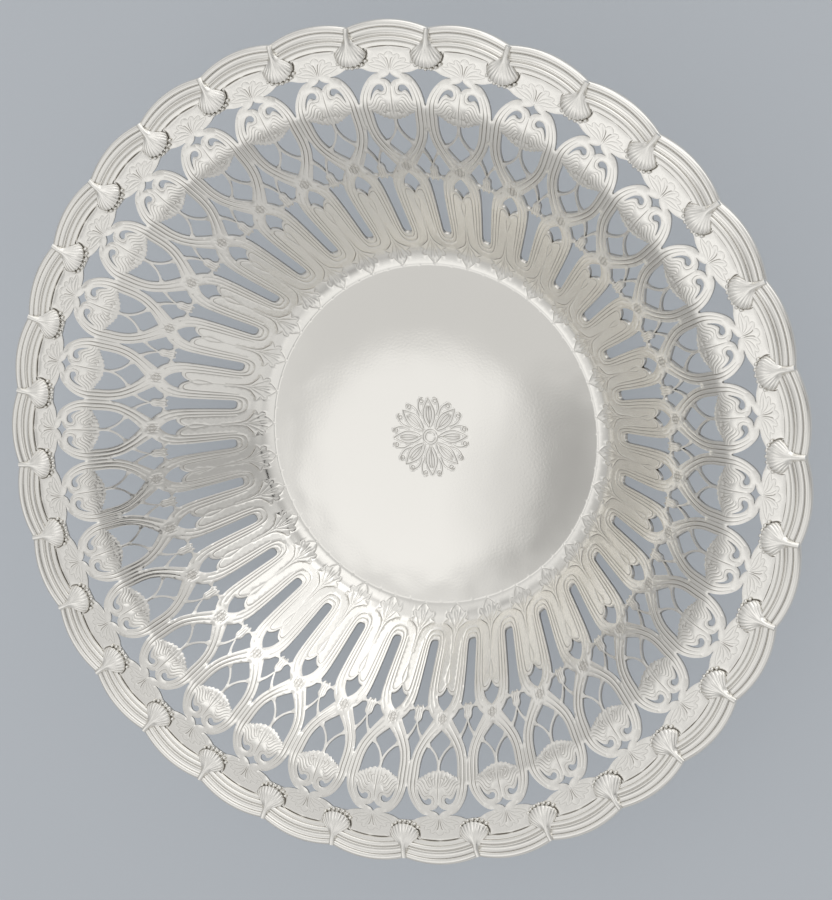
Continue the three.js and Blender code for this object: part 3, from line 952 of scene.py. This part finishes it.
# %% [markdown]
# ## The moulded border
# The border is cast in lengths and soldered on. Read from its outer edge, the section is a wide roll, a
# hollow, a thin bead, one strong round and a slope down to the plate. It bends down a little towards its
# outer edge. The section is swept along one scallop, whose edge swings out from notch to notch as a shallow
# parabola, and the tree repeats it.

# %% Border
BORDER_WIDTH, BORDER_BASE = 9.8, 0.3
BORDER_NOTCH, BORDER_SWING = 0.35, 2.35  # where the edge lies at a notch, and how far it swings out
EDGE_DROP, DROP_WIDTH = 1.2, 5.5
ROUNDS = ((1.4, 1.35, 0.75, 0.95), (5.35, 0.4, 0.85, 0.4), (7.0, 1.0, 0.85, 0.85))
HOLLOW = (2.85, 4.9, 0.95, 0.4)  # from, to, height at its sides and sag
INNER_SLOPE = ((8.1, 0.92), (8.9, 0.8), (9.6, 0.72))
SCALLOP_STATIONS, ROUND_POINTS, HOLLOW_POINTS = 28, 10, 7


def edge_drop(across):
    return EDGE_DROP * np.clip(1 - across / DROP_WIDTH, 0, 1) ** 2


def border_section():
    """Points (across, height): rounds, given by centre, half width, foot and rise, and one hollow."""
    angles = np.linspace(math.pi, 0, ROUND_POINTS)
    rolls = [np.stack([centre + half * np.cos(angles), foot + rise * np.sin(angles)], 1)
             for centre, half, foot, rise in ROUNDS]
    first, last, depth, sag = HOLLOW
    across = np.linspace(first, last, HOLLOW_POINTS)
    hollow = np.stack([across, depth - sag * np.sin(np.linspace(0, math.pi, HOLLOW_POINTS))], 1)
    section = np.vstack([[[0.02, 0.2]], rolls[0], hollow, rolls[1], rolls[2], INNER_SLOPE])
    return section - np.stack([0 * section[:, 0], edge_drop(section[:, 0])], 1)


def make_border_scallop():
    profile = np.vstack([[[0.5, -edge_drop(0.5) - 0.1]], border_section(), [[BORDER_WIDTH, 0.0]]])
    points, quads = [], []
    for at in np.linspace(-0.5, 0.5, SCALLOP_STATIONS + 1):
        outer_edge = BORDER_NOTCH - BORDER_SWING * (1 - (2 * at) ** 2)
        points += list(on_bowl(at + 0.5, outer_edge + profile[:, 0], BORDER_BASE + profile[:, 1]))
    count = len(profile)
    for row in range(SCALLOP_STATIONS):
        here, after = row * count, (row + 1) * count
        for i in range(count):
            j = (i + 1) % count
            quads.append((here + i, after + i, after + j, here + j))
    return mesh_object("scallop", points, quads)


border = repeated([make_border_scallop()], "moulded_border", cast_silver)
finished(border, BORDERS)

# %% [markdown]
# ## The shells
# A scallop shell is a fan of ribs that grow out of a narrow stem. Here `turn` runs over the fan from side
# to side and `along` from the stem at the notch to the shell's edge. The stem stays narrow over the border,
# then the fan opens to a round far edge. Its middle is a smooth dome, and the ribs deepen towards the edge,
# which is scalloped like them. A row of small berries peeps out beyond it.

# %% Outline of a shell
SHELL_START, SHELL_LENGTH, SHELL_SIDE_LENGTH = 0.6, 14.4, 9.5
STEM_HALF_WIDTH, FAN_FLARE = 1.2, 5.3
FAN_OPENS = (0.25, 1.05)  # from and to these shares of the shell's length


def eased_step(value, low, high):
    t = np.clip((value - low) / (high - low), 0, 1)
    return t * t * (3 - 2 * t)


def shell_outline(along, turn):
    """Sideways millimetres and distance along the sheet of a place on the shell."""
    half_width = STEM_HALF_WIDTH + FAN_FLARE * eased_step(along, *FAN_OPENS) ** 1.4
    shorter = (SHELL_LENGTH - SHELL_SIDE_LENGTH) * (1 - np.cos(turn * math.pi / 2))
    return half_width * np.sin(turn * math.pi / 2), SHELL_START + along * (SHELL_LENGTH - shorter)


def repeats_at(path, sideways):
    """Sideways millimetres as a share of a repeat, at a distance along the sheet."""
    return sideways / (np.interp(path, trace_path, trace_radius) * CELL)


print("shell %.1f mm wide" % (2 * shell_outline(1.0, 1.0)[0]))

# %% [markdown]
# The height over the plate is a rod along the stem that turns into the dome of the fan. The ribs are dips
# between rounded crests. The same points, dropped to the plate, close the shell with a low wall.

# %% One shell
STEM_HEIGHT, ROD_RISE, DOME_RISE, FAN_LIFT, FAR_FALL = 1.7, 1.35, 1.7, 0.2, 0.85
SHELL_RIBS, RIB_DEPTH, EDGE_BITE = 11, 0.36, 0.4
DOME_GROWS, RIBS_DEEPEN = (0.35, 0.85), (0.5, 0.95)  # from and to these shares of the length
SHELL_ROWS, SHELL_COLUMNS = 20, 78
SHELL_LOW, SHELL_TOP = 0.33, 3.72


def make_shell():
    columns = SHELL_COLUMNS + 1
    along, turn = np.meshgrid(
        np.linspace(0, 1, SHELL_ROWS) ** 0.85, np.linspace(-1, 1, columns), indexing="ij")
    across = np.sin(turn * math.pi / 2)
    rib = np.abs(np.cos(SHELL_RIBS * math.pi / 2 * turn)) ** 0.45
    sideways, path = shell_outline(along, turn)
    path -= EDGE_BITE * (1 - rib) * along ** 6 * np.cos(turn * math.pi / 2)
    fan = eased_step(along, *DOME_GROWS)
    rod = np.sqrt(np.clip(1 - across**2, 0, 1)) * (1 - fan)
    dome = np.clip(1 - across**2, 0, 1) ** 0.6 * fan
    height = STEM_HEIGHT + ROD_RISE * rod + DOME_RISE * dome - FAR_FALL * along ** 6 + FAN_LIFT * fan
    height -= RIB_DEPTH * (1 - rib) * eased_step(along, *RIBS_DEEPEN) + edge_drop(path)
    height = np.clip(height, SHELL_LOW + 0.1, SHELL_TOP)
    top = on_bowl(repeats_at(path, sideways), path, height)
    low = on_bowl(repeats_at(path, sideways), path, np.full_like(height, SHELL_LOW))
    numbers = np.arange(SHELL_ROWS * columns).reshape(SHELL_ROWS, columns)
    corners = numbers[:-1, :-1], numbers[:-1, 1:], numbers[1:, 1:], numbers[1:, :-1]
    quads = list(zip(*(corner.ravel() for corner in corners)))
    rim = [*numbers[0], *numbers[1:, -1], *numbers[-1, -2::-1], *numbers[-2:0:-1, 0]]
    base, count = numbers.size, len(rim)
    points = [*top.reshape(-1, 3), *low.reshape(-1, 3)[rim]]
    quads += [(rim[i], base + i, base + (i + 1) % count, rim[(i + 1) % count]) for i in range(count)]
    return mesh_object("shell", points, quads)


shell = make_shell()
print("one shell has", len(shell.data.polygons), "faces")

# %% [markdown]
# The berries are small balls in a row, half sunk behind the shell's edge. Shell and berries are repeated
# together, once for each notch.

# %% Berries, and all the shells
BERRY_RADIUS, BERRY_LIFT = 0.75, 0.7
BERRY_BEYOND, BERRY_SPREAD = 0.85, 1.1
BERRY_PLACES = (-0.6, -0.4, -0.2, 0.0, 0.2, 0.4, 0.6)


def make_berries():
    berries = bmesh.new()
    for turn in BERRY_PLACES:
        sideways, path = shell_outline(1.0, turn)
        path = path + BERRY_BEYOND * math.cos(turn * math.pi / 2)
        centre = Matrix.Translation(on_bowl(repeats_at(path, BERRY_SPREAD * sideways), path, BERRY_LIFT))
        bmesh.ops.create_icosphere(berries, subdivisions=3, radius=BERRY_RADIUS * MM, matrix=centre)
    mesh = bpy.data.meshes.new("berries")
    berries.to_mesh(mesh)
    berries.free()
    return in_scene("berries", mesh)


shells = repeated([shell, make_berries()], "rim_shells", shell_silver, sharp_angle=60, weld=0.0001)
finished(shells, SHELLS)

# %% [markdown]
# ## The foot
# The foot is a plain turned ring, seldom seen, soldered under the flat of the well.

# %% Foot
foot_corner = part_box("foot_ring")[1]
foot_outer, foot_top = foot_corner.x / MM, foot_corner.z / MM
# how far each point lies inside the outer face, and its height
FOOT_SECTION = [(4.6, 0.0), (0.5, 0.0), (0.0, 0.45), (0.0, 1.1), (0.9, 1.9), (1.8, 3.0), (2.4, 4.2),
                (2.4, foot_top), (5.8, foot_top), (5.6, 2.4)]
FOOT_SEGMENTS = 192
foot_profile = [(foot_outer - inside_face, height) for inside_face, height in FOOT_SECTION]
foot = lathe("foot_ring_turned", foot_profile, FOOT_SEGMENTS, closed=True)
foot.data.materials.append(foot_silver)
foot.data.shade_smooth()
foot.data.set_sharp_from_angle(angle=math.radians(SHARP_ANGLE))
finished(foot, ["foot_ring"])
print("foot ring", round(2 * foot_outer), "mm across")

# %% [markdown]
# ## The room
# Silver shows its surroundings more than itself, so the room is most of its colour. The bowl stands in an
# even light with soft panels round it and overhead that fade into each other. Each panel is a patch of the
# sky round one direction, and a few narrow dark ones stand for the gaps that the wall mirrors as thin
# shadows. One soft lamp adds the highlights. Rays that come straight from the camera see a plain grey
# instead.

# %% Sky
BACKDROP = (0.4, 0.43, 0.465)
SKY_TINT = (1.0, 0.995, 0.985)
EVEN_LIGHT = 0.32
# azimuth, elevation, radius of the full light and of the fade in degrees, brightness (1 is a white wall)
SKY_PATCHES = [
    (45, 32, 8, 36, 0.3), (90, 32, 8, 36, 0.5), (135, 32, 8, 36, 0.21), (180, 32, 8, 36, 0.2),
    (225, 32, 8, 36, 0.25), (0, 32, 8, 36, 0.12), (270, 32, 8, 36, 0.11), (315, 32, 8, 36, 0.37),
    (45, 5, 5, 28, 0.83), (90, 5, 5, 28, 0.7), (135, 5, 5, 28, 0.3), (270, 5, 5, 28, 0.21),
    (315, 5, 5, 28, 0.08),
    (202, 80, 25, 50, 0.36), (202, 41, 6, 28, 0.08), (239, 48, 6, 28, 0.1), (278, 65, 6, 28, 0.16),
    (80, 68, 6, 20, 0.45), (204.3, 67.9, 3.6, 5.0, 0.27), (218.7, 72.6, 1, 6, -0.28),
    (0, 47, 1.2, 3, -0.5), (5, 47.5, 1.2, 3, -0.5), (10, 48, 1.2, 3, -0.5), (15, 49, 1.2, 3, -0.5)]


def direction(azimuth, elevation):
    a, e = math.radians(azimuth), math.radians(elevation)
    return Vector((math.cos(e) * math.cos(a), math.cos(e) * math.sin(a), math.sin(e)))


def make_sky():
    world = bpy.data.worlds.new("sky")
    bpy.context.scene.world = world
    world.use_nodes = True
    add = node_adder(world.node_tree)
    place = add("ShaderNodeTexCoord", {}).outputs["Generated"]
    light = EVEN_LIGHT
    for azimuth, elevation, full, reach, gain in SKY_PATCHES:
        towards = add("ShaderNodeVectorMath", {0: place, 1: direction(azimuth, elevation)},
                      operation="DOT_PRODUCT")
        patch = add("ShaderNodeMapRange", {
            "Value": towards.outputs["Value"], "From Min": math.cos(math.radians(reach)),
            "From Max": math.cos(math.radians(full)), "To Max": gain}, interpolation_type="SMOOTHSTEP")
        light = add("ShaderNodeMath", {0: light, 1: patch})
    sky = add("ShaderNodeVectorMath", {0: SKY_TINT, "Scale": light}, operation="SCALE")
    seen = add("ShaderNodeLightPath", {}).outputs["Is Camera Ray"]
    shown = add("ShaderNodeMix", {"Factor": seen, "A": sky, "B": (*BACKDROP, 1)}, data_type="RGBA")
    feed(world.node_tree.nodes["Background"], {"Color": shown.outputs["Result"]})


make_sky()
print("sky with", len(SKY_PATCHES), "soft panels")

# %% [markdown]
# The floor is one large plain face. The camera sees it mixed with the grey of the sky, so that its far edge
# hardly shows, and reflections see its real paint.

# %% Floor
FLOOR_PAINT = (0.6, 0.63, 0.67)
FLOOR_REACH, PLAIN_SHARE = 30.0, 0.55


def make_floor():
    floor = mesh_object("floor", FLOOR_REACH * np.array([(-1, -1, 0), (1, -1, 0), (1, 1, 0), (-1, 1, 0)]),
                        [(0, 1, 2, 3)])
    paint = bpy.data.materials.new("floor_paint")
    paint.use_nodes = True
    nodes, add = paint.node_tree.nodes, node_adder(paint.node_tree)
    shader = nodes["Principled BSDF"]
    feed(shader, {"Base Color": (*FLOOR_PAINT, 1), "Roughness": 0.8})
    plain = add("ShaderNodeEmission", {"Color": (*BACKDROP, 1)})
    seen = add("ShaderNodeLightPath", {}).outputs["Is Camera Ray"]
    share = add("ShaderNodeMath", {0: seen, 1: PLAIN_SHARE}, operation="MULTIPLY")
    blend = add("ShaderNodeMixShader", {0: share, 1: shader, 2: plain})
    feed(nodes["Material Output"], {"Surface": blend})
    floor.data.materials.append(paint)


make_floor()
print("floor reaches", FLOOR_REACH, "m each way")

# %% [markdown]
# A small lamp would leave hard dots on the silver. A wide one, not far away, gives soft highlights on the
# ribs and reeds, and a gentle shadow under the rim.

# %% Lamp
def backed_towards(away):
    """The turn of a lamp or a camera whose back points along a direction."""
    return away.to_track_quat("Z", "Y").to_matrix().to_4x4()


def make_lamp(name, place, target, width, height, brightness):
    """A soft lamp; its brightness is on the scale on which a white wall in the room is 1."""
    light = bpy.data.lights.new(name, "AREA")
    light.shape = "RECTANGLE"
    light.size, light.size_y = width, height
    light.energy = brightness * math.pi * width * height
    in_scene(name, light).matrix_world = Matrix.Translation(place) @ backed_towards(place - target)


MIDDLE = Vector((0, 0, 0.03))
make_lamp("soft_box", MIDDLE + 1.6 * direction(64, 36), MIDDLE, width=1.0, height=0.5, brightness=0.5)
print("one soft lamp")

# %% [markdown]
# ## The camera
# The bowl is seen from above and to one side, from about 0.62 m away, with a lens of moderate length. The
# picture is taken slightly off the middle of the view, which the small vertical shift keeps.

# %% Camera
CAMERA_PLACE = Vector((230.9, 94.7, 573.2 + RIM_HEIGHT))
CAMERA_AIM = Vector((16.1, -8.9, RIM_HEIGHT))
CAMERA_ROLL = -117.8
LENS, PICTURE_SHIFT = 62.5, 0.0367

camera_data = bpy.data.cameras.new("camera")
camera_data.lens = LENS
camera_data.shift_y = PICTURE_SHIFT
camera = in_scene("camera", camera_data)
look = backed_towards(CAMERA_PLACE - CAMERA_AIM) @ Matrix.Rotation(math.radians(CAMERA_ROLL), 4, "Z")
camera.matrix_world = Matrix.Translation(CAMERA_PLACE * MM) @ look
bpy.context.scene.camera = camera
bpy.context.scene.view_settings.view_transform = "Standard"
print("camera", round(CAMERA_PLACE.length), "mm from the bowl's foot")
